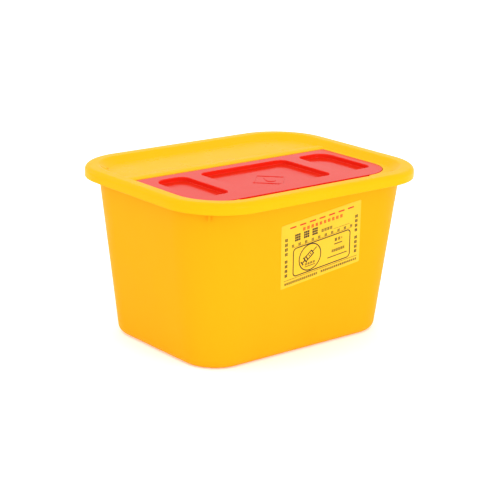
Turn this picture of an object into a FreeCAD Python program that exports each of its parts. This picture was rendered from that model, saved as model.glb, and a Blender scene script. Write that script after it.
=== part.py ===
# Sharps container, 245 x 195 x 143 mm: a tapered tub with an out-turned rim, a lift-off lid with a
# soft rounded rim, a red flap hinged across the lid and a printed label on the front wall.
# Millimetres. +Z is up, the origin is the middle of the underside, the front (label side) faces -Y.
import FreeCAD
import Part
import math
import os
import re
import Sketcher

doc = FreeCAD.newDocument("SharpsContainer")
V = FreeCAD.Vector

# ---------------------------------------------------------------------------------------------
# Driving sizes. Plain numbers are set as text, derived sizes are formulas of them.
# ---------------------------------------------------------------------------------------------
SIZES = [
    # the tub
    ("tub_base_x", "97.4", "half length of the tub at its underside"),
    ("tub_base_y", "70.8", "half width of the tub at its underside"),
    ("tub_base_rad", "30", "corner radius at the underside"),
    ("tub_top_z", "136.2", "level of the flange that the lid rests on"),
    ("tub_spread", "16.5", "how far each wall leans out over the full height"),
    ("tub_wall", "1.8", "wall thickness"),
    ("tub_foot_depth", "1", "depth of the hollow in the underside"),
    ("tub_foot_inset", "17", "from the base outline to that hollow"),
    ("tub_heel", "7", "rounding of the bottom edge"),
    ("flange_x", "119.9", "half length of the flange"),
    ("flange_y", "94.9", "half width of the flange"),
    ("flange_rad", "46.6", "corner radius of the flange"),
    ("flange_thick", "1.5", "flange thickness"),
    ("lip_top_z", "141.2", "top of the upturned lip, which carries the lid"),
    ("lip_inset", "1.7", "from the flange's edge to the lip"),
    ("lip_round", "0.6", "rounding of the lip's upper edges"),
    ("gusset_drop", "8.3", "how far a corner web runs down the wall"),
    ("gusset_thick", "2.1", "corner web thickness"),
    ("gusset_reach", "48.1", "outer end of a corner web, from the corner's centre"),
    # the lid
    ("lid_x", "122.5", "half length of the lid"),
    ("lid_y", "97.5", "half width of the lid"),
    ("lid_rad", "50", "corner radius of the lid"),
    ("lid_skirt_z", "133.9", "lower edge of the skirt"),
    ("lid_top_z", "143", "top of the rim"),
    ("lid_wall", "1.8", "wall thickness of the lid"),
    ("panel_z", "138", "upper face of the recessed panel"),
    ("rim_foot", "19.5", "from the outer edge to the foot of the rim's inner wall"),
    ("rim_shoulder", "11.2", "from the outer edge to the top of the rim's inner wall"),
    ("rim_round", "4.2", "outer rounding of the rim"),
    ("skirt_round", "0.7", "rounding of the skirt's lower edge"),
    ("rim_inner_round", "4.5", "rounding at the top of the inner wall"),
    ("rim_foot_round", "3.5", "rounding at the foot of the inner wall"),
    ("mark_x", "-96.6", "small sunk moulding mark in the back left corner of the panel"),
    ("mark_y", "67.6", "small sunk moulding mark in the back left corner of the panel"),
    ("mark_rad", "1", "small sunk moulding mark, radius"),
    ("mark_depth", "1", "small sunk moulding mark, depth"),
    # the hinge
    ("hinge_y", "21.2", "hinge axis"),
    ("hinge_z", "136.3", "hinge axis"),
    ("barrel_rad", "1.95", "rolled edge of the flap round the axis"),
    ("pin_rad", "1", "stub pins at the ends of the rolled edge"),
    ("pin_end", "103.8", "outer end of a stub pin"),
    ("pin_play", "0.06", "radial running clearance of a stub pin"),
    ("seat_back", "23.8", "back wall of the trough that the rolled edge turns in"),
    ("bead_top_z", "139.3", "top of the hinge bead"),
    ("bead_back", "30.1", "centre of the rounded front of the hinge bead"),
    ("bead_rad", "14", "rounding of the front of the hinge bead"),
    ("bead_flat", "31", "back end of the flat top of the hinge bead"),
    ("bead_back_rad", "22", "rounding of the back of the hinge bead"),
    ("bead_into_rim", "2.7", "how far the ends of the hinge bead run into the rim"),
    # the flap
    ("flap_x", "100.8", "half length of the flap"),
    ("flap_front", "-69.4", "front edge of the flap"),
    ("flap_rad", "29", "front corner radius of the flap"),
    ("flap_z", "138.25", "upper face of the flap"),
    ("flap_thick", "2", "flap thickness"),
    ("plate_round", "0.4", "rounding of the flap's upper edge"),
    ("flap_gap", "0.6", "gap between the flap and its seat, all round"),
    ("front_relief", "3", "wider gap along the straight front edge of the flap"),
    ("scoop_width", "16", "finger scoop in front of the flap, width"),
    ("scoop_reach", "6.9", "finger scoop, from the flap's edge to its front"),
    ("scoop_depth", "0.9", "finger scoop, depth"),
    ("seat_z", "136.1", "upper face of the seat below the flap"),
    ("seat_under_z", "134.3", "underside of the seat"),
    ("seat_ends", "5.5", "how far the seat reaches past the flap's ends"),
    ("seat_ahead", "8", "how far the seat reaches past the flap's front edge"),
    ("seat_behind", "9.5", "how far seat and beam reach past the hinge axis"),
    ("beam_under_z", "132.3", "underside of the beam below the hinge"),
    ("trough_z", "133.8", "bottom of the trough below the rolled edge"),
    ("hook_x", "53", "lock hooks below the flap, centre"),
    ("hook_y", "-66.5", "lock hooks below the flap, centre"),
    ("hook_width", "8", "lock hooks, width"),
    ("hook_end_z", "130.9", "lock hooks, lower end"),
    ("tray_depth", "3.5", "depth of the three trays in the flap"),
    ("tray_draft", "0.4", "how far a tray narrows over its depth"),
    ("tray_wall", "1.5", "wall thickness of the trays"),
    ("tray_mouth_round", "0.8", "rounding of the upper edge of the trays"),
    ("tray_floor_round", "0.6", "rounding at the foot of the tray walls"),
    ("mid_x", "45.5", "half length of the middle tray"),
    ("mid_front", "-51.5", "front edge of the middle tray"),
    ("mid_back", "12.5", "back edge of the middle tray"),
    ("side_in", "60", "inner edge of a side tray"),
    ("side_out", "91.3", "outer edge of a side tray"),
    ("side_front", "-50", "front edge of a side tray"),
    ("side_back", "12", "back edge of a side tray"),
    ("tray_rad", "7.5", "corner radius of the trays"),
    ("tray_big_rad", "12", "outer corner radius of the side trays"),
    ("sign_x", "-1.4", "raised sign, centre"),
    ("sign_y", "-25.6", "raised sign, centre"),
    ("sign_reach", "17.3", "raised sign, from its centre to a point of the diamond"),
    ("sign_height", "0.35", "raised sign, height"),
    ("sign_line", "1.7", "raised sign, line width along the diamond's axes"),
    ("drop_rad", "4.2", "drop in the raised sign, round end"),
    ("drop_tip", "9.5", "drop in the raised sign, from the round end's centre to the tip"),
    ("port_gap", "2.1", "gap between a tray and the port that it plugs"),
    # the label
    ("label_w", "84", "label width"),
    ("label_h", "55.6", "label height"),
    ("label_thick", "0.2", "label thickness"),
    ("label_x", "7.1", "label centre, to the right of the middle"),
    ("label_up", "92.7", "label centre, measured up the front wall"),
    ("label_turn", "6.8", "the label is stuck on slightly turned"),
]
sheet = doc.addObject("Spreadsheet::Sheet", "Sizes")
for row, (alias, value, note) in enumerate(SIZES, start=1):
    sheet.set(f"A{row}", alias)
    sheet.set(f"B{row}", value)
    sheet.set(f"C{row}", note)
    sheet.setAlias(f"B{row}", alias)
doc.recompute()
num = {alias: float(sheet.get(alias)) for alias, _, _ in SIZES}


def value_of(formula):
    """Number behind a formula: a sum of terms, each a size, a number or a size times a number."""
    total = 0.0
    for term in formula.replace("-", "+-").split("+"):
        term = term.strip()
        if not term:
            continue
        sign = 1.0
        if term.startswith("-"):
            sign = -1.0
            term = term[1:].strip()
        product = sign
        for factor in term.split("*"):
            factor = factor.strip()
            product *= num[factor] if factor in num else float(factor)
        total += product
    return total


def bound(formula):
    """The same formula, written for FreeCAD's expression engine."""
    return re.sub(r"[a-z][a-z_]*", lambda word: "Sizes." + word.group(0), formula)


# ---------------------------------------------------------------------------------------------
# Small helpers for bodies, sketches and features
# ---------------------------------------------------------------------------------------------
def new_body(name):
    body = doc.addObject("PartDesign::Body", name)
    body.Label = name
    return body


def plane(body, role):
    return [item for item in body.Origin.OriginFeatures if item.Role == role][0]


def sketch_on(body, name, role="XY_Plane", level=None):
    sketch = body.newObject("Sketcher::SketchObject", name)
    sketch.AttachmentSupport = [(plane(body, role), "")]
    sketch.MapMode = "FlatFace"
    if level is not None:
        sketch.AttachmentOffset = FreeCAD.Placement(V(0, 0, value_of(level)), FreeCAD.Rotation())
        sketch.setExpression("AttachmentOffset.Base.z", bound(level))
    return sketch


def dimension(sketch, kind, args, formula, name):
    index = sketch.addConstraint(Sketcher.Constraint(kind, *args, value_of(formula)))
    sketch.renameConstraint(index, name)
    sketch.setExpression("Constraints." + name, bound(formula))


def rounded_rectangle(sketch, left, right, front, back, radii, tag="r"):
    """Rectangle with the corner radii (front left, front right, back right, back left)."""
    x0, x1, y0, y1 = [value_of(item) for item in (left, right, front, back)]
    rad = [value_of(item) for item in radii]
    first = sketch.GeometryCount
    runs = [((x0 + rad[0], y0), (x1 - rad[1], y0)), ((x1, y0 + rad[1]), (x1, y1 - rad[2])),
            ((x1 - rad[2], y1), (x0 + rad[3], y1)), ((x0, y1 - rad[3]), (x0, y0 + rad[0]))]
    arcs = [((x1 - rad[1], y0 + rad[1]), rad[1], -90), ((x1 - rad[2], y1 - rad[2]), rad[2], 0),
            ((x0 + rad[3], y1 - rad[3]), rad[3], 90), ((x0 + rad[0], y0 + rad[0]), rad[0], 180)]
    for (start, end), (centre, radius, angle) in zip(runs, arcs):
        sketch.addGeometry(Part.LineSegment(V(*start, 0), V(*end, 0)), False)
        circle = Part.Circle(V(*centre, 0), V(0, 0, 1), radius)
        sketch.addGeometry(Part.ArcOfCircle(circle, math.radians(angle), math.radians(angle + 90)), False)
    for side in range(4):
        line = first + 2 * side
        arc = line + 1
        following = first + (2 * side + 2) % 8
        sketch.addConstraint(Sketcher.Constraint("Tangent", line, 2, arc, 1))
        sketch.addConstraint(Sketcher.Constraint("Tangent", arc, 2, following, 1))
        sketch.addConstraint(Sketcher.Constraint("Horizontal" if side % 2 == 0 else "Vertical", line))
    order = [radii[1], radii[2], radii[3], radii[0]]
    for side in range(4):
        dimension(sketch, "Radius", (first + 2 * side + 1,), order[side], f"{tag}_radius{side}")
    dimension(sketch, "DistanceY", (-1, 1, first, 1), front, f"{tag}_front")
    dimension(sketch, "DistanceX", (-1, 1, first + 2, 1), right, f"{tag}_right")
    dimension(sketch, "DistanceY", (-1, 1, first + 4, 1), back, f"{tag}_back")
    dimension(sketch, "DistanceX", (-1, 1, first + 6, 1), left, f"{tag}_left")


def centred_rectangle(sketch, half_x, half_y, radius):
    rounded_rectangle(sketch, negated(half_x), half_x, negated(half_y), half_y, [radius] * 4)


def negated(formula):
    """The formula with every term's sign turned round."""
    terms = [term.strip() for term in formula.replace("-", "+-").split("+") if term.strip()]
    flipped = [term[1:] if term.startswith("-") else "-" + term for term in terms]
    return "+".join(flipped).replace("+-", "-")


def polygon(sketch, points):
    """Closed outline through fixed points; each point is a pair of formulas."""
    first = sketch.GeometryCount
    here = [(value_of(x), value_of(y)) for x, y in points]
    count = len(points)
    for index in range(count):
        a, b = here[index], here[(index + 1) % count]
        sketch.addGeometry(Part.LineSegment(V(*a, 0), V(*b, 0)), False)
    for index in range(count):
        sketch.addConstraint(Sketcher.Constraint("Coincident", first + index, 2,
                                                 first + (index + 1) % count, 1))
    for index, (x, y) in enumerate(points):
        dimension(sketch, "DistanceX", (-1, 1, first + index, 1), x, f"p{first + index}_x")
        dimension(sketch, "DistanceY", (-1, 1, first + index, 1), y, f"p{first + index}_y")


def circle_at(sketch, x, y, radius):
    index = sketch.addGeometry(Part.Circle(V(value_of(x), value_of(y), 0), V(0, 0, 1), value_of(radius)),
                               False)
    dimension(sketch, "Radius", (index,), radius, f"c{index}_radius")
    dimension(sketch, "DistanceX", (-1, 1, index, 3), x, f"c{index}_x")
    dimension(sketch, "DistanceY", (-1, 1, index, 3), y, f"c{index}_y")


def pad(body, sketch, length, name, symmetric=False):
    feature = body.newObject("PartDesign::Pad", name)
    feature.Profile = sketch
    feature.Length = value_of(length)
    feature.setExpression("Length", bound(length))
    if symmetric:
        feature.SideType = "Symmetric"
    doc.recompute()
    return feature


def pocket(body, sketch, depth, name, upward=False):
    """Cut from the sketch down to a depth, or up when the sketch lies on an underside."""
    feature = body.newObject("PartDesign::Pocket", name)
    feature.Profile = sketch
    feature.Length = value_of(depth)
    feature.setExpression("Length", bound(depth))
    feature.Reversed = upward
    doc.recompute()
    return feature


def ring_between(sketch, outer, inner):
    """Two centred outlines, given as (half length, half width, corner radius)."""
    for tag, (half_x, half_y, radius) in (("outer", outer), ("inner", inner)):
        rounded_rectangle(sketch, negated(half_x), half_x, negated(half_y), half_y, [radius] * 4, tag)


def faces_where(shape, test):
    return [f"Face{number}" for number, face in enumerate(shape.Faces, start=1) if test(face)]


def flat_at(z):
    """The largest flat face lying at one level."""
    def pick(shape):
        level = [(face.Area, f"Face{number}") for number, face in enumerate(shape.Faces, start=1)
                 if abs(face.BoundBox.ZMin - z) < 0.01 and abs(face.BoundBox.ZMax - z) < 0.01]
        return max(level)[1]
    return pick


def wall_between(low, high, wanted=None):
    """Upright faces that run from one level to another."""
    def test(face):
        frame = face.BoundBox
        upright = abs(frame.ZMin - low) < 0.02 and abs(frame.ZMax - high) < 0.02
        return upright and (wanted is None or wanted(frame))
    return test


def draft(body, walls, neutral_z, angle, name, opening_out):
    """Lean upright faces about a level; opening_out makes the outline grow away from it."""
    base = body.Tip
    before = base.Shape.Volume
    feature = body.newObject("PartDesign::Draft", name)
    feature.Base = (base, faces_where(base.Shape, walls))
    feature.NeutralPlane = (base, [flat_at(neutral_z)(base.Shape)])
    feature.setExpression("Angle", angle)
    doc.recompute()
    if (feature.Shape.Volume > before) != opening_out:
        feature.Reversed = True
        doc.recompute()
    return feature


def shell(body, open_z, thickness, name):
    """Hollow the block to an even wall, leaving it open at one level."""
    base = body.Tip
    feature = body.newObject("PartDesign::Thickness", name)
    feature.Base = (base, [flat_at(open_z)(base.Shape)])
    feature.Value = value_of(thickness)
    feature.setExpression("Value", bound(thickness))
    feature.Reversed = True
    feature.Join = 0
    doc.recompute()
    return feature


def edges_where(shape, test):
    return [f"Edge{number}" for number, edge in enumerate(shape.Edges, start=1) if test(edge)]


def fillet(body, test, radius, name):
    base = body.Tip
    chosen = edges_where(base.Shape, test)
    if not chosen:
        raise RuntimeError("no edges for " + name)
    feature = body.newObject("PartDesign::Fillet", name)
    feature.Base = (base, chosen)
    feature.Radius = value_of(radius)
    feature.setExpression("Radius", bound(radius))
    doc.recompute()
    return feature


def level_loop(z):
    """Edges lying flat at one level."""
    def test(edge):
        frame = edge.BoundBox
        return abs(frame.ZMin - z) < 0.02 and abs(frame.ZMax - z) < 0.02
    return test


# ---------------------------------------------------------------------------------------------
# Tub
# ---------------------------------------------------------------------------------------------
tub = new_body("tub")
outline = sketch_on(tub, "tub_outline_base", level="0")
centred_rectangle(outline, "tub_base_x", "tub_base_y", "tub_base_rad")
pad(tub, outline, "tub_top_z", "tub_block")
draft(tub, wall_between(0.0, num["tub_top_z"]), 0.0, "atan(Sizes.tub_spread / Sizes.tub_top_z)",
      "tub_lean", opening_out=True)
fillet(tub, level_loop(0.0), "tub_heel", "tub_heel_rounding")
shell(tub, num["tub_top_z"], "tub_wall", "tub_hollow")
rise = sketch_on(tub, "raised_floor_outline", level="tub_wall-0.2")
centred_rectangle(rise, "tub_base_x-tub_foot_inset+1.5", "tub_base_y-tub_foot_inset+1.5", "tub_base_rad-8.5")
pad(tub, rise, "tub_foot_depth+0.2", "raised_floor")
foot = sketch_on(tub, "foot_outline", level="0")
centred_rectangle(foot, "tub_base_x-tub_foot_inset", "tub_base_y-tub_foot_inset", "tub_base_rad-10")
pocket(tub, foot, "tub_foot_depth", "hollow_underside", upward=True)

flange = sketch_on(tub, "flange_outline", level="tub_top_z-flange_thick")
ring_between(flange, ("flange_x", "flange_y", "flange_rad"),
             ("tub_base_x+tub_spread-1", "tub_base_y+tub_spread-1", "tub_base_rad+tub_spread-1"))
pad(tub, flange, "flange_thick", "flange")
lip = sketch_on(tub, "lip_outline", level="tub_top_z-0.2")
ring_between(lip, ("flange_x-lip_inset", "flange_y-lip_inset", "flange_rad-lip_inset"),
             ("flange_x-lip_inset-flange_thick", "flange_y-lip_inset-flange_thick",
              "flange_rad-lip_inset-flange_thick"))
pad(tub, lip, "lip_top_z-tub_top_z+0.2", "lip")

# corner webs below the flange, one on each corner's diagonal
corner_x = "tub_base_x-tub_base_rad"
corner_y = "tub_base_y-tub_base_rad"
for name, sign_x, sign_y, angle in (("front_left", -1, -1, 225), ("front_right", 1, -1, -45),
                                    ("back_right", 1, 1, 45), ("back_left", -1, 1, 135)):
    web = sketch_on(tub, "gusset_" + name, "XZ_Plane")
    web.AttachmentOffset = FreeCAD.Placement(
        V(sign_x * value_of(corner_x), 0, -sign_y * value_of(corner_y)),
        FreeCAD.Rotation(V(0, 1, 0), angle))
    web.setExpression("AttachmentOffset.Base.x", f"{sign_x}*({bound(corner_x)})")
    web.setExpression("AttachmentOffset.Base.z", f"{-sign_y}*({bound(corner_y)})")
    under = "tub_top_z-0.5*flange_thick"
    low_root, high_root = [f"tub_base_rad+{part}*tub_spread-0.5*tub_wall" for part in (0.92, 0.995)]
    foot_z = "tub_top_z-flange_thick-gusset_drop"
    polygon(web, [(low_root, foot_z), ("gusset_reach", foot_z), ("gusset_reach", under),
                  (high_root, under)])
    pad(tub, web, "gusset_thick", "corner_web_" + name, symmetric=True)

fillet(tub, level_loop(num["lip_top_z"]), "lip_round", "lip_rounding")

# ---------------------------------------------------------------------------------------------
# Lid
# ---------------------------------------------------------------------------------------------
lid = new_body("lid")
skirt = sketch_on(lid, "lid_outline", level="lid_skirt_z")
centred_rectangle(skirt, "lid_x", "lid_y", "lid_rad")
pad(lid, skirt, "lid_top_z-lid_skirt_z", "rim_block")
fillet(lid, level_loop(num["lid_top_z"]), "rim_round", "rim_outer_rounding")
well = sketch_on(lid, "panel_outline", level="lid_top_z")
centred_rectangle(well, "lid_x-rim_foot", "lid_y-rim_foot", "lid_rad-rim_foot")
pocket(lid, well, "lid_top_z-panel_z", "well")
draft(lid, wall_between(num["panel_z"], num["lid_top_z"]), num["panel_z"],
      "atan((Sizes.rim_foot - Sizes.rim_shoulder) / (Sizes.lid_top_z - Sizes.panel_z))",
      "rim_inner_lean", opening_out=False)
fillet(lid, level_loop(num["lid_top_z"]), "rim_inner_round", "rim_inner_rounding")
fillet(lid, level_loop(num["panel_z"]), "rim_foot_round", "rim_foot_rounding")
shell(lid, num["lid_skirt_z"], "lid_wall", "lid_hollow")
fillet(lid, level_loop(num["lid_skirt_z"]), "skirt_round", "skirt_edge_rounding")

# seat for the flap, with a beam under the hinge
seat = sketch_on(lid, "seat_outline", level="seat_under_z")
rounded_rectangle(seat, "-flap_x-seat_ends", "flap_x+seat_ends", "flap_front-seat_ahead",
                  "hinge_y+seat_behind",
                  ["flap_rad+6", "flap_rad+6", "3", "3"])
pad(lid, seat, "panel_z-lid_wall-seat_under_z+0.9", "seat")
beam = sketch_on(lid, "beam_outline", level="beam_under_z")
rounded_rectangle(beam, "-flap_x-seat_ends", "flap_x+seat_ends", "hinge_y-5", "hinge_y+seat_behind",
                  ["3"] * 4)
pad(lid, beam, "seat_under_z-beam_under_z+0.2", "hinge_beam")

# raised bead behind the hinge, rounded at the front so that the open flap leans past upright
bead = sketch_on(lid, "hinge_bead_profile", "YZ_Plane")
base_z = num["panel_z"] - 0.2
front_z = num["bead_top_z"] - num["bead_rad"]
back_z = num["bead_top_z"] - num["bead_back_rad"]
front_turn = math.asin((base_z - front_z) / num["bead_rad"])
back_turn = math.asin((base_z - back_z) / num["bead_back_rad"])
front_foot = V(num["bead_back"] - num["bead_rad"] * math.cos(front_turn), base_z, 0)
back_foot = V(num["bead_flat"] + num["bead_back_rad"] * math.cos(back_turn), base_z, 0)
front_top = V(num["bead_back"], num["bead_top_z"], 0)
back_top = V(num["bead_flat"], num["bead_top_z"], 0)
bead.addGeometry(Part.ArcOfCircle(Part.Circle(V(num["bead_back"], front_z, 0), V(0, 0, 1), num["bead_rad"]),
                                  math.pi / 2, math.pi - front_turn), False)
bead.addGeometry(Part.LineSegment(front_foot, back_foot), False)
bead.addGeometry(Part.ArcOfCircle(Part.Circle(V(num["bead_flat"], back_z, 0), V(0, 0, 1),
                                              num["bead_back_rad"]), back_turn, math.pi / 2), False)
bead.addGeometry(Part.LineSegment(back_top, front_top), False)
for one, end, two, begin in ((0, 2, 1, 1), (1, 2, 2, 1)):
    bead.addConstraint(Sketcher.Constraint("Coincident", one, end, two, begin))
for one, end, two, begin in ((2, 2, 3, 1), (3, 2, 0, 1)):
    bead.addConstraint(Sketcher.Constraint("Tangent", one, end, two, begin))
bead.addConstraint(Sketcher.Constraint("Horizontal", 1))
bead.addConstraint(Sketcher.Constraint("Horizontal", 3))
dimension(bead, "DistanceX", (-1, 1, 0, 3), "bead_back", "front_centre_y")
dimension(bead, "DistanceY", (-1, 1, 0, 3), "bead_top_z-bead_rad", "front_centre_z")
dimension(bead, "Radius", (0,), "bead_rad", "front_radius")
dimension(bead, "Radius", (2,), "bead_back_rad", "back_radius")
dimension(bead, "DistanceX", (-1, 1, 2, 3), "bead_flat", "back_centre_y")
dimension(bead, "DistanceY", (-1, 1, 1, 1), "panel_z-0.2", "foot_level")
pad(lid, bead, "2*lid_x-2*rim_foot+2*bead_into_rim", "hinge_bead", symmetric=True)

# the flap drops into this pocket; its rolled edge turns in the trough at the back of it
recess = sketch_on(lid, "flap_pocket_outline", level="panel_z+0.5")
rounded_rectangle(recess, "-flap_x-flap_gap", "flap_x+flap_gap", "flap_front-flap_gap", "seat_back",
                  ["flap_rad+flap_gap", "flap_rad+flap_gap", "0.4", "0.4"])
pocket(lid, recess, "panel_z+0.5-seat_z", "flap_pocket")
trough = sketch_on(lid, "trough_outline", level="seat_z")
rounded_rectangle(trough, "-flap_x-flap_gap", "flap_x+flap_gap", "hinge_y-2.5", "seat_back",
                  ["0.4", "0.4", "0.4", "0.4"])
pocket(lid, trough, "seat_z-trough_z", "hinge_trough")
sockets = sketch_on(lid, "pin_sockets", "YZ_Plane")
circle_at(sockets, "hinge_y", "hinge_z", "pin_rad+pin_play")
bore = lid.newObject("PartDesign::Pocket", "pin_socket_bore")
bore.Profile = sockets
bore.Length = 2 * value_of("pin_end+0.6")
bore.setExpression("Length", "2*(" + bound("pin_end+0.6") + ")")
bore.SideType = "Symmetric"
doc.recompute()

# three ports in the seat, with notches for pulling needles off
ports = sketch_on(lid, "port_outlines", level="seat_z")
grow = "port_gap"
rounded_rectangle(ports, "-mid_x-" + grow, "mid_x+" + grow, "mid_front-" + grow, "mid_back+" + grow,
                  ["tray_rad+" + grow] * 4, tag="middle")
rounded_rectangle(ports, "side_in-" + grow, "side_out+" + grow, "side_front-" + grow,
                  "side_back+" + grow,
                  ["tray_rad+" + grow, "tray_rad+" + grow, "tray_big_rad+" + grow, "tray_rad+" + grow],
                  tag="right")
rounded_rectangle(ports, "-side_out-" + grow, "-side_in+" + grow, "side_front-" + grow,
                  "side_back+" + grow,
                  ["tray_rad+" + grow, "tray_rad+" + grow, "tray_rad+" + grow, "tray_big_rad+" + grow],
                  tag="left")
pocket(lid, ports, "seat_z-seat_under_z", "ports")
notches = sketch_on(lid, "needle_notches", level="seat_z")
for sign in ("-", ""):
    for level_y, depth in ((-42, 7), (-24, 5.5), (-8, 4)):
        mouth = f"{sign}mid_x{'-' if sign else '+'}0.9"
        tip = f"{sign}mid_x{'-' if sign else '+'}{1.3 + depth}"
        polygon(notches, [(mouth, f"{level_y - 3}"), (tip, f"{level_y - 0.5}"),
                          (tip, f"{level_y + 0.5}"), (mouth, f"{level_y + 3}")])
pocket(lid, notches, "seat_z-seat_under_z", "needle_notches_cut")
slots = sketch_on(lid, "lock_slot_outlines", level="seat_z")
for tag, middle in (("left", "-hook_x"), ("right", "hook_x")):
    rounded_rectangle(slots, middle + "-0.5*hook_width-2", middle + "+0.5*hook_width+2", "hook_y-1.8",
                      "hook_y+1.8", ["0.8"] * 4, tag=tag)
pocket(lid, slots, "seat_z-seat_under_z", "lock_slots")
relief = sketch_on(lid, "front_relief_outline", level="panel_z")
rounded_rectangle(relief, "-flap_x+flap_rad+3", "flap_x-flap_rad-3", "flap_front-front_relief",
                  "flap_front", ["0.4"] * 4)
pocket(lid, relief, "panel_z-seat_z", "front_relief")
scoop = sketch_on(lid, "finger_scoop_outline", level="panel_z")
rounded_rectangle(scoop, "-0.5*scoop_width", "0.5*scoop_width", "flap_front-scoop_reach", "flap_front",
                  ["4", "4", "0.4", "0.4"])
pocket(lid, scoop, "scoop_depth", "finger_scoop")
mark = sketch_on(lid, "moulding_mark_outline", level="panel_z+1")
circle_at(mark, "mark_x", "mark_y", "mark_rad")
pocket(lid, mark, "1+mark_depth", "moulding_mark")

# ---------------------------------------------------------------------------------------------
# Flap
# ---------------------------------------------------------------------------------------------
flap = new_body("flap")
plate = sketch_on(flap, "flap_outline", level="flap_z-flap_thick")
rounded_rectangle(plate, "-flap_x", "flap_x", "flap_front", "hinge_y+0.6",
                  ["flap_rad", "flap_rad", "0.8", "0.8"])
pad(flap, plate, "flap_thick", "plate")
fillet(flap, level_loop(num["flap_z"]), "plate_round", "plate_rounding")
rolled = sketch_on(flap, "rolled_edge_section", "YZ_Plane")
circle_at(rolled, "hinge_y", "hinge_z", "barrel_rad")
pad(flap, rolled, "2*flap_x", "rolled_edge", symmetric=True)
pins = sketch_on(flap, "stub_pin_section", "YZ_Plane")
circle_at(pins, "hinge_y", "hinge_z", "pin_rad")
pad(flap, pins, "2*pin_end", "stub_pins", symmetric=True)

TRAYS = [("middle", "-mid_x", "mid_x", "mid_front", "mid_back", ["tray_rad"] * 4),
         ("right", "side_in", "side_out", "side_front", "side_back",
          ["tray_rad", "tray_rad", "tray_big_rad", "tray_rad"]),
         ("left", "-side_out", "-side_in", "side_front", "side_back",
          ["tray_rad", "tray_rad", "tray_rad", "tray_big_rad"])]


def tray_outline(sketch, tray, grow):
    """A tray's outline, moved outwards by a formula."""
    name, left, right, front, back, radii = tray
    less = negated(grow)
    rounded_rectangle(sketch, left + "+" + less, right + "+" + grow, front + "+" + less,
                      back + "+" + grow, [item + "+" + grow for item in radii], tag=name)


tray_shells = sketch_on(flap, "tray_shell_outlines", level="flap_z-flap_thick")
for tray in TRAYS:
    tray_outline(tray_shells, tray, "tray_wall-0.4*tray_draft")
shells = pad(flap, tray_shells, "tray_depth+tray_wall-flap_thick", "tray_shells")
shells.Reversed = True
doc.recompute()
tray_angle = "atan(Sizes.tray_draft / Sizes.tray_depth)"
draft(flap, wall_between(num["flap_z"] - num["tray_depth"] - num["tray_wall"],
                         num["flap_z"] - num["flap_thick"], lambda frame: frame.YMax < 17),
      num["flap_z"] - num["flap_thick"], tray_angle, "tray_shell_lean", opening_out=False)
tray_hollows = sketch_on(flap, "tray_outlines", level="flap_z")
for tray in TRAYS:
    tray_outline(tray_hollows, tray, "-tray_draft")
pocket(flap, tray_hollows, "tray_depth", "tray_hollows")
tray_floor_z = num["flap_z"] - num["tray_depth"]
draft(flap, wall_between(tray_floor_z, num["flap_z"]), tray_floor_z, tray_angle, "tray_lean",
      opening_out=False)


def tray_mouth(edge):
    frame = edge.BoundBox
    middle = edge.valueAt((edge.FirstParameter + edge.LastParameter) / 2)
    level = abs(frame.ZMin - num["flap_z"]) < 0.02 and abs(frame.ZMax - num["flap_z"]) < 0.02
    return level and abs(middle.x) < num["side_out"] + 0.1 and \
        num["mid_front"] - 0.1 < middle.y < num["mid_back"] + 0.1


def tray_floor(edge):
    frame = edge.BoundBox
    floor_z = num["flap_z"] - num["tray_depth"]
    return abs(frame.ZMin - floor_z) < 0.02 and abs(frame.ZMax - floor_z) < 0.02


fillet(flap, tray_mouth, "tray_mouth_round", "tray_mouth_rounding")
fillet(flap, tray_floor, "tray_floor_round", "tray_floor_rounding")

# two lock hooks below the front edge
for side, start in (("left", "-hook_x-0.5*hook_width"), ("right", "hook_x-0.5*hook_width")):
    hook = sketch_on(flap, "lock_hook_" + side, "YZ_Plane", level=start)
    root = "flap_z-flap_thick+0.2"
    polygon(hook, [("hook_y+0.8", root), ("hook_y-0.8", root), ("hook_y-0.8", "hook_end_z+2"),
                   ("hook_y-1.4", "hook_end_z+1.6"), ("hook_y-0.6", "hook_end_z"),
                   ("hook_y+0.8", "hook_end_z")])
    pad(flap, hook, "hook_width", "lock_hook_body_" + side)

# raised sign on the floor of the middle tray: a diamond frame round a plain drop
sign_level = "flap_z-tray_depth-0.2"
diamond = sketch_on(flap, "raised_diamond", level=sign_level)
for reach in ("sign_reach", "sign_reach-sign_line"):
    polygon(diamond, [("sign_x+" + negated(reach), "sign_y"), ("sign_x", "sign_y+" + negated(reach)),
                      ("sign_x+" + reach, "sign_y"), ("sign_x", "sign_y+" + reach)])
pad(flap, diamond, "sign_height+0.2", "raised_diamond_frame")
drop = sketch_on(flap, "raised_drop", level=sign_level)
drop_x, drop_y = num["sign_x"], num["sign_y"] - 2
opening = math.acos(num["drop_rad"] / num["drop_tip"])
left, right = math.pi / 2 + opening, 5 * math.pi / 2 - opening
tip = V(drop_x, drop_y + num["drop_tip"], 0)
drop.addGeometry(Part.ArcOfCircle(Part.Circle(V(drop_x, drop_y, 0), V(0, 0, 1), num["drop_rad"]),
                                  left, right), False)
drop.addGeometry(Part.LineSegment(V(drop_x + num["drop_rad"] * math.cos(right),
                                    drop_y + num["drop_rad"] * math.sin(right), 0), tip), False)
drop.addGeometry(Part.LineSegment(tip, V(drop_x + num["drop_rad"] * math.cos(left),
                                         drop_y + num["drop_rad"] * math.sin(left), 0)), False)
drop.addConstraint(Sketcher.Constraint("Tangent", 0, 2, 1, 1))
drop.addConstraint(Sketcher.Constraint("Coincident", 1, 2, 2, 1))
drop.addConstraint(Sketcher.Constraint("Tangent", 2, 2, 0, 1))
dimension(drop, "Radius", (0,), "drop_rad", "drop_radius")
dimension(drop, "DistanceX", (-1, 1, 0, 3), "sign_x", "drop_centre_x")
dimension(drop, "DistanceY", (-1, 1, 0, 3), "sign_y-2", "drop_centre_y")
dimension(drop, "DistanceX", (-1, 1, 1, 2), "sign_x", "drop_tip_x")
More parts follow.
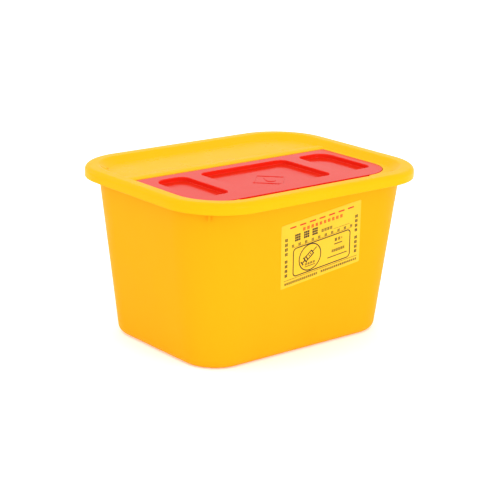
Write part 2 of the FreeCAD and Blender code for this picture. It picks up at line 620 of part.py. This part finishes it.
dimension(drop, "DistanceY", (-1, 1, 1, 2), "sign_y-2+drop_tip", "drop_tip_y")
pad(flap, drop, "sign_height+0.2", "raised_drop_body")

# ---------------------------------------------------------------------------------------------
# Front label: a thin sticker lying on the sloping front wall
# ---------------------------------------------------------------------------------------------
label = new_body("front_label")
blank = sketch_on(label, "label_outline", level="0")
centred_rectangle(blank, "0.5*label_w", "0.5*label_h", "1.2")
pad(label, blank, "label_thick", "label_sheet")
slope = math.degrees(math.atan(num["tub_spread"] / num["tub_top_z"]))
turned = FreeCAD.Rotation(V(1, 0, 0), 90 + slope).multiply(FreeCAD.Rotation(V(0, 0, 1), num["label_turn"]))
up_wall = V(0, -math.sin(math.radians(slope)), math.cos(math.radians(slope)))
seat_point = V(num["label_x"], -num["tub_base_y"], 0) + up_wall * num["label_up"]
label.Placement = FreeCAD.Placement(seat_point, turned)

# ---------------------------------------------------------------------------------------------
# Check and export
# ---------------------------------------------------------------------------------------------
doc.recompute()
for item in doc.Objects:
    if "Invalid" in item.State or "Error" in item.State:
        raise RuntimeError(item.Name + " did not recompute: " + str(item.State))

os.makedirs("parts", exist_ok=True)
for body in (tub, lid, flap, label):
    shape = body.Shape
    if shape.isNull() or not shape.isValid() or len(shape.Solids) != 1:
        raise RuntimeError(body.Label + " is not one valid solid")
    shape.exportStep("parts/" + body.Label + ".step")
    box = shape.BoundBox
    print(body.Label, round(box.XMin, 2), round(box.XMax, 2), round(box.YMin, 2), round(box.YMax, 2),
          round(box.ZMin, 2), round(box.ZMax, 2), "volume", round(shape.Volume))
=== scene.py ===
# Sharps container: yellow tub and lid, red flap with three trays, printed label on the front wall.
# Metres, in the frame of the CAD model: +Z up, the front (label side) faces -Y.
import math

import bpy
from mathutils import Matrix, Vector


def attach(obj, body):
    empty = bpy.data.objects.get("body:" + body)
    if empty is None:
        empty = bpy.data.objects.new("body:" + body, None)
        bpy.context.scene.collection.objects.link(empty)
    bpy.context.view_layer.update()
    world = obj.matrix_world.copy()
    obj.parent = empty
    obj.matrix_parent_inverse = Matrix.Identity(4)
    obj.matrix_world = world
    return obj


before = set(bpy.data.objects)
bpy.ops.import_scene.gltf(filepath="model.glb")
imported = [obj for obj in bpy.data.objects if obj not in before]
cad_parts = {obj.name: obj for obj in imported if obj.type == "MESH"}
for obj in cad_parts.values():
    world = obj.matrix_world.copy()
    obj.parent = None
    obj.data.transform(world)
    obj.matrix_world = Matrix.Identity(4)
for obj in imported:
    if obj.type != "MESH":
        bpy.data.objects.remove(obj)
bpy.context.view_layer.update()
MM = 0.001

# ---------------------------------------------------------------------------------------------
# Materials: every one is procedural, in object coordinates, so it stays put on the moving parts
# ---------------------------------------------------------------------------------------------


def new_material(name):
    material = bpy.data.materials.new(name)
    material.use_nodes = True
    nodes, links = material.node_tree.nodes, material.node_tree.links
    shader = nodes["Principled BSDF"]
    place = nodes.new("ShaderNodeTexCoord")
    return material, nodes, links, shader, place


def noise(nodes, links, place, scale, detail=4.0, stretch=(1, 1, 1)):
    mapping = nodes.new("ShaderNodeMapping")
    mapping.inputs["Scale"].default_value = stretch
    links.new(place.outputs["Object"], mapping.inputs["Vector"])
    texture = nodes.new("ShaderNodeTexNoise")
    texture.inputs["Scale"].default_value = scale
    texture.inputs["Detail"].default_value = detail
    links.new(mapping.outputs["Vector"], texture.inputs["Vector"])
    return texture.outputs["Fac"]


def spread(nodes, links, factor, low, high, low_at=0.35, high_at=0.65):
    remap = nodes.new("ShaderNodeMapRange")
    remap.inputs["From Min"].default_value = low_at
    remap.inputs["From Max"].default_value = high_at
    remap.inputs["To Min"].default_value = low
    remap.inputs["To Max"].default_value = high
    links.new(factor, remap.inputs["Value"])
    return remap.outputs["Result"]


def blend_colours(nodes, links, factor, first, second):
    mix = nodes.new("ShaderNodeMix")
    mix.data_type = "RGBA"
    mix.inputs["A"].default_value = (*first, 1)
    mix.inputs["B"].default_value = (*second, 1)
    links.new(factor, mix.inputs["Factor"])
    return mix.outputs["Result"]


def bump(nodes, links, shader, heights):
    """Stack several height fields; each is (field, strength, distance in metres)."""
    normal = None
    for field, strength, distance in heights:
        node = nodes.new("ShaderNodeBump")
        node.inputs["Strength"].default_value = strength
        node.inputs["Distance"].default_value = distance
        links.new(field, node.inputs["Height"])
        if normal is not None:
            links.new(normal, node.inputs["Normal"])
        normal = node.outputs["Normal"]
    links.new(normal, shader.inputs["Normal"])


def painted_light_top_mask(nodes, links, place):
    """1 on faces that look up and 0 elsewhere, so that they can take a painted tint that stands in
    for the light and shade falling on tops.
    """
    split = nodes.new("ShaderNodeSeparateXYZ")
    links.new(place.outputs["Normal"], split.inputs["Vector"])
    return spread(nodes, links, split.outputs["Z"], 0.0, 1.0, 0.80, 0.99)


def moulded_plastic(name, colour, deep_colour, painted_top_light, specular, rough):
    """Moulded polypropylene: faint flow clouding, orange peel, a slightly uneven gloss, and
    painted light on upward faces, which take a tint of their own in place of the light that falls
    on tops.
    """
    material, nodes, links, shader, place = new_material(name)
    clouds = spread(nodes, links, noise(nodes, links, place, 14, 5, (1, 1, 0.35)), 0.0, 1.0)
    clean = blend_colours(nodes, links, clouds, colour, deep_colour)
    mix = nodes.new("ShaderNodeMix")
    mix.data_type = "RGBA"
    links.new(clean, mix.inputs["A"])
    # painted light: upward faces get their own tint, lighter on the lid and darker on the flap, in
    # place of the light that falls on tops
    mix.inputs["B"].default_value = (*painted_top_light, 1)
    links.new(painted_light_top_mask(nodes, links, place), mix.inputs["Factor"])
    links.new(mix.outputs["Result"], shader.inputs["Base Color"])
    gloss = noise(nodes, links, place, 45, 6)
    links.new(spread(nodes, links, gloss, rough[0], rough[1]), shader.inputs["Roughness"])
    shader.inputs["Specular IOR Level"].default_value = specular
    peel = noise(nodes, links, place, 420, 3)
    waviness = noise(nodes, links, place, 18, 2)
    bump(nodes, links, shader, [(waviness, 0.12, 0.0010), (peel, 0.06, 0.00012)])
    return material


def label_film():
    """Glossy printed film with a fine paper tooth and slight creases."""
    material, nodes, links, shader, place = new_material("label_film")
    clouds = spread(nodes, links, noise(nodes, links, place, 60, 4), 0.0, 1.0)
    colour = blend_colours(nodes, links, clouds, (0.81, 0.475, 0.011), (0.79, 0.455, 0.009))
    links.new(colour, shader.inputs["Base Color"])
    gloss = noise(nodes, links, place, 120, 4)
    links.new(spread(nodes, links, gloss, 0.32, 0.46), shader.inputs["Roughness"])
    shader.inputs["Specular IOR Level"].default_value = 0.25
    tooth = noise(nodes, links, place, 1500, 3)
    creases = noise(nodes, links, place, 55, 2)
    bump(nodes, links, shader, [(creases, 0.15, 0.0004), (tooth, 0.05, 0.00005)])
    return material


def printing_ink(name, colour, worn_colour):
    """Ink with the slightly broken coverage of cheap flexo printing."""
    material, nodes, links, shader, place = new_material(name)
    coverage = spread(nodes, links, noise(nodes, links, place, 1400, 4), 0.0, 1.0, 0.45, 0.75)
    links.new(blend_colours(nodes, links, coverage, colour, worn_colour),
              shader.inputs["Base Color"])
    gloss = noise(nodes, links, place, 300, 3)
    links.new(spread(nodes, links, gloss, 0.4, 0.55), shader.inputs["Roughness"])
    shader.inputs["Specular IOR Level"].default_value = 0.2
    return material


def plain_floor():
    material, nodes, links, shader, place = new_material("floor")
    clouds = spread(nodes, links, noise(nodes, links, place, 3, 3), 0.0, 1.0)
    links.new(blend_colours(nodes, links, clouds, (0.97, 0.97, 0.97), (0.95, 0.95, 0.95)),
              shader.inputs["Base Color"])
    shader.inputs["Roughness"].default_value = 0.9
    shader.inputs["Specular IOR Level"].default_value = 0.1
    shader.inputs["Emission Color"].default_value = (1, 1, 1, 1)
    shader.inputs["Emission Strength"].default_value = 0.2
    return material


# Third colour of each: painted light on upward faces (lighter tops on the lid, darker tops on the
# flap, close to the base colour on the tub)
TUB_YELLOW = moulded_plastic("tub_yellow", (0.86, 0.366, 0.0058), (0.845, 0.353, 0.0050),
                             (0.86, 0.37, 0.0055), 0.015, (0.34, 0.46))
LID_YELLOW = moulded_plastic("lid_yellow", (0.86, 0.425, 0.0050), (0.845, 0.415, 0.0043),
                             (0.86, 0.432, 0.004), 0.024, (0.26, 0.34))
FLAP_RED = moulded_plastic("flap_red", (0.77, 0.018, 0.0060), (0.75, 0.016, 0.0050),
                           (0.65, 0.018, 0.004), 0.066, (0.13, 0.20))
LABEL_FILM = label_film()
BLACK_INK = printing_ink("black_ink", (0.018, 0.012, 0.006), (0.05, 0.032, 0.010))
FADED_INK = printing_ink("faded_ink", (0.10, 0.062, 0.009), (0.20, 0.13, 0.012))
RED_INK = printing_ink("red_ink", (0.55, 0.012, 0.004), (0.64, 0.035, 0.007))


def dress(node, material):
    """Give a CAD node its material in every slot."""
    materials = bpy.data.objects[node].data.materials
    materials.clear()
    materials.append(material)


dress("tub", TUB_YELLOW)
dress("lid", LID_YELLOW)
dress("flap", FLAP_RED)
dress("front_label", LABEL_FILM)

# ---------------------------------------------------------------------------------------------
# Label print: plain bars and blocks in place of the wording, and a syringe pictogram
# ---------------------------------------------------------------------------------------------


def label_frame():
    """Centre of the label's outer face, its right and up directions and its normal."""
    mesh = bpy.data.objects["front_label"].data
    front_face = max(mesh.polygons, key=lambda face: face.area * max(0.0, -face.normal.y))
    normal = front_face.normal.normalized()
    uses = {}
    for face in mesh.polygons:
        if face.normal.dot(normal) > 0.999:
            for key in face.edge_keys:
                uses[key] = uses.get(key, 0) + 1
    rim = [key for key, count in uses.items() if count == 1]
    runs = [mesh.vertices[end].co - mesh.vertices[start].co for start, end in rim]
    right = max(runs, key=lambda run: run.length).normalized()
    if right.x < 0:
        right = -right
    up = normal.cross(right).normalized()
    corners = [mesh.vertices[index].co for key in rim for index in key]
    centre = normal * corners[0].dot(normal)
    for axis in (right, up):
        places = [point.dot(axis) for point in corners]
        centre = centre + axis * (max(places) + min(places)) / 2
    return centre, right, up, normal


CENTRE, RIGHT, UP, OUT = label_frame()
INK_LIFT = 0.02 * MM
INK_DEPTH = 0.03 * MM
BLOCK_WIDTH_SHARE = 0.86
BLOCK_HEIGHT_SHARE = 0.80
LINE_WIDTH = 0.9
RING_RADIUS = 11.4
SYRINGE_TURN = 35.0


class Print:
    """Collects flat shapes, given in millimetres on the label, into one thin piece of ink."""

    def __init__(self):
        self.points = []
        self.faces = []

    def polygon(self, outline):
        count = len(outline)
        base = len(self.points)
        for height in (INK_LIFT, INK_LIFT + INK_DEPTH):
            for x, y in outline:
                self.points.append(CENTRE + RIGHT * (x * MM) + UP * (y * MM) + OUT * height)
        self.faces.append([base + count + index for index in range(count)])
        self.faces.append([base + index for index in reversed(range(count))])
        for index in range(count):
            after = (index + 1) % count
            self.faces.append([base + index, base + after,
                               base + count + after, base + count + index])

    def bar(self, x, y, width, height, turn=0.0):
        """Rectangle given by its centre, turned by some degrees about that centre."""
        c, s = math.cos(math.radians(turn)), math.sin(math.radians(turn))
        corners = [(-width / 2, -height / 2), (width / 2, -height / 2),
                   (width / 2, height / 2), (-width / 2, height / 2)]
        self.polygon([(x + a * c - b * s, y + a * s + b * c) for a, b in corners])

    def cluster(self, x, y, width, height, columns=2, rows=3):
        """A plain grid of small blocks, in place of a printed word."""
        step_x, step_y = width / columns, height / rows
        for column in range(columns):
            for row in range(rows):
                self.bar(x + (column - (columns - 1) / 2) * step_x,
                         y + (row - (rows - 1) / 2) * step_y,
                         BLOCK_WIDTH_SHARE * step_x, BLOCK_HEIGHT_SHARE * step_y)

    def outline(self, path):
        """A closed line of even width through a ring of points, mitred at its corners."""
        count = len(path)
        sides = ([], [])
        for index, (x, y) in enumerate(path):
            before, after = path[index - 1], path[(index + 1) % count]
            inward = Vector((x - before[0], y - before[1]))
            outward = Vector((after[0] - x, after[1] - y))
            inward = inward.normalized() if inward.length > 0 else outward.normalized()
            outward = outward.normalized() if outward.length > 0 else inward
            middle = (inward + outward).normalized()
            reach = LINE_WIDTH / 2 / max(0.3, middle.dot(inward))
            normal = Vector((-middle.y, middle.x)) * reach
            sides[0].append((x + normal.x, y + normal.y))
            sides[1].append((x - normal.x, y - normal.y))
        for index in range(count):
            after = (index + 1) % count
            self.polygon([sides[1][index], sides[1][after], sides[0][after], sides[0][index]])

    def finish(self, name, material):
        mesh = bpy.data.meshes.new(name)
        mesh.from_pydata(self.points, [], self.faces)
        mesh.validate()
        mesh.update()
        piece = bpy.data.objects.new(name, mesh)
        bpy.context.collection.objects.link(piece)
        piece.data.materials.append(material)
        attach(piece, "tub")


def arc(x, y, radius, start, end, steps=8):
    return [(x + radius * math.cos(math.radians(start + (end - start) * step / steps)),
             y + radius * math.sin(math.radians(start + (end - start) * step / steps)))
            for step in range(steps + 1)]


def rounded_outline(left, right, bottom, top, radius):
    path = arc(right - radius, bottom + radius, radius, -90, 0)
    path += arc(right - radius, top - radius, radius, 0, 90)
    path += arc(left + radius, top - radius, radius, 90, 180)
    path += arc(left + radius, bottom + radius, radius, 180, 270)
    return path


def syringe(ink, x, y):
    """Generic pictogram of a syringe lying at a slant, its needle pointing up and to the right."""
    c, s = math.cos(math.radians(SYRINGE_TURN)), math.sin(math.radians(SYRINGE_TURN))

    def part(along, width, height):
        ink.bar(x + along * c, y + along * s, width, height, SYRINGE_TURN)

    part(-8.4, 1.1, 4.4)    # thumb rest
    part(-6.4, 3.2, 1.1)    # plunger rod
    part(-4.6, 1.1, 6.2)    # finger flange
    for side in (-1.9, 1.9):
        ink.bar(x - side * s, y + side * c, 9.6, 1.0, SYRINGE_TURN)    # wall of the barrel
    part(-2.2, 1.0, 3.4)    # plunger head
    part(0.6, 0.6, 1.8)     # marks on the barrel
    part(2.6, 0.6, 1.8)
    part(4.8, 1.0, 4.4)     # shoulder
    part(7.6, 5.0, 0.8)     # needle


def label_print():
    red, black, faded = Print(), Print(), Print()
    # dashes along the top
    for index in range(7):
        red.bar(-29.8 + 10.1 * index, 23.7, 6.4, 1.25)
    # even red row below them
    for index in range(10):
        red.cluster(-18.4 + 4.35 * index, 19.3, 2.6, 2.9)
    # three large grids in place of the title
    for x in (-25.0, -15.8, -7.0):
        black.cluster(x, 13.8, 5.8, 6.4, 3, 3)
    for index in range(4):
        faded.cluster(1.0 + 3.05 * index, 12.2, 2.5, 2.9)
    faded.bar(21.5, 10.1, 17.0, 0.35)
    # even faded row over a rule
    for index in range(10):
        faded.cluster(-29.8 + 6.85 * index, 7.5, 2.6, 2.4)
    faded.bar(1.5, 5.9, 62.0, 0.3)
    # rounded frame and plain ring
    black.outline(rounded_outline(-29.2, 30.9, -19.9, 4.6, 3.2))
    middle_x, middle_y = -11.7, -7.4
    angles = [math.radians(10.0 * step) for step in range(36)]
    black.outline([(middle_x + RING_RADIUS * math.cos(angle),
                    middle_y + RING_RADIUS * math.sin(angle)) for angle in angles])
    syringe(black, middle_x - 1.4, middle_y + 1.2)
    # two small rows under the syringe, and the blocks in the right half of the frame
    for index in range(4):
        faded.cluster(middle_x - 4.1 + 2.75 * index, -12.8, 2.2, 2.0)
    faded.bar(middle_x, -15.0, 11.0, 0.7)
    black.cluster(15.6, -0.1, 2.6, 2.8)
    faded.cluster(19.2, -0.1, 2.4, 2.8)
    faded.bar(22.0, -0.1, 0.7, 1.8)
    faded.bar(18.3, -3.9, 8.4, 1.0)
    for index in range(6):
        faded.cluster(12.4 + 2.35 * index, -9.5, 2.1, 2.6)
    faded.bar(17.5, -14.4, 21.0, 0.9)
    # columns of blocks along both edges
    for x in (-36.6, 37.3):
        for index in range(8):
            shift = 2.4 if index > 3 else 0.0
            black.cluster(x, 14.4 - 4.12 * index - shift, 2.9, 2.7)
    # rule and row of blocks along the bottom
    faded.bar(0.4, -21.4, 78.0, 0.4)
    for index in range(17):
        faded.cluster(-37.2 + 2.05 * index, -24.4, 1.6, 2.3)
    for index in range(19):
        black.cluster(1.0 + 2.05 * index, -24.2, 1.5, 2.0)
    red.finish("label_print_red", RED_INK)
    black.finish("label_print_black", BLACK_INK)
    faded.finish("label_print_faded", FADED_INK)


label_print()

# ---------------------------------------------------------------------------------------------
# Floor, lights and camera
# ---------------------------------------------------------------------------------------------


def floor():
    mesh = bpy.data.meshes.new("floor")
    reach = 30.0    # far enough for its edge to vanish in a low view
    corners = [(-reach, -reach, 0), (reach, -reach, 0), (reach, reach, 0), (-reach, reach, 0)]
    mesh.from_pydata(corners, [], [(0, 1, 2, 3)])
    plane = bpy.data.objects.new("floor", mesh)
    bpy.context.collection.objects.link(plane)
    mesh.materials.append(plain_floor())


def soft_light(name, place, aim, size, power):
    data = bpy.data.lights.new(name, "AREA")
    data.shape = "RECTANGLE"
    data.size, data.size_y = size
    data.energy = power
    lamp = bpy.data.objects.new(name, data)
    bpy.context.collection.objects.link(lamp)
    lamp.location = place
    lamp.rotation_euler = (Vector(aim) - Vector(place)).to_track_quat("-Z", "Y").to_euler()


def sky(horizon, zenith):
    """White tent, brighter overhead than at its foot."""
    world = bpy.data.worlds.new("tent")
    bpy.context.scene.world = world
    world.use_nodes = True
    nodes, links = world.node_tree.nodes, world.node_tree.links
    direction = nodes.new("ShaderNodeTexCoord")
    split = nodes.new("ShaderNodeSeparateXYZ")
    links.new(direction.outputs["Generated"], split.inputs["Vector"])
    nodes["Background"].inputs["Color"].default_value = (1, 1, 1, 1)
    links.new(spread(nodes, links, split.outputs["Z"], horizon, zenith, 0.0, 1.0),
              nodes["Background"].inputs["Strength"])


def camera():
    azimuth, elevation, roll = math.radians(-39.73), math.radians(16.61), math.radians(1.35)
    distance = 1.2978
    target = Vector((0.0014, 0.0, 0.0682))
    back = Vector((math.sin(azimuth) * math.cos(elevation),
                   -math.cos(azimuth) * math.cos(elevation),
                   math.sin(elevation)))
    right = Vector((0, 0, 1)).cross(back).normalized()
    up = back.cross(right)
    tilted_right = right * math.cos(roll) + up * math.sin(roll)
    tilted_up = up * math.cos(roll) - right * math.sin(roll)
    data = bpy.data.cameras.new("camera")
    data.lens = 111.06
    data.sensor_width = 36.0
    eye = bpy.data.objects.new("camera", data)
    bpy.context.collection.objects.link(eye)
    basis = Matrix((tilted_right, tilted_up, back)).transposed().to_4x4()
    eye.matrix_world = Matrix.Translation(target + back * distance) @ basis
    bpy.context.scene.camera = eye


def lamp_place(azimuth, elevation, distance):
    """A place round the part; azimuth 0 is straight in front and grows towards +X."""
    turn, lift = math.radians(azimuth), math.radians(elevation)
    return (distance * math.sin(turn) * math.cos(lift),
            -distance * math.cos(turn) * math.cos(lift),
            distance * math.sin(lift))


LAMP_DISTANCE = 2.2
PART_MIDDLE = (0, 0, 0.08)

floor()
sky(horizon=1.0, zenith=1.36)
soft_light("overhead", (0.0, 0.1, 1.8), (0, 0, 0.1), size=(2.2, 2.2), power=3)
soft_light("front", lamp_place(5, 16, LAMP_DISTANCE), PART_MIDDLE, size=(0.6, 0.6), power=11)
soft_light("left", lamp_place(-100, 30, LAMP_DISTANCE), PART_MIDDLE, size=(0.4, 0.4), power=2.5)
soft_light("back", lamp_place(200, 25, LAMP_DISTANCE), PART_MIDDLE, size=(0.6, 0.6), power=4)
camera()
bpy.context.scene.view_settings.view_transform = "Standard"
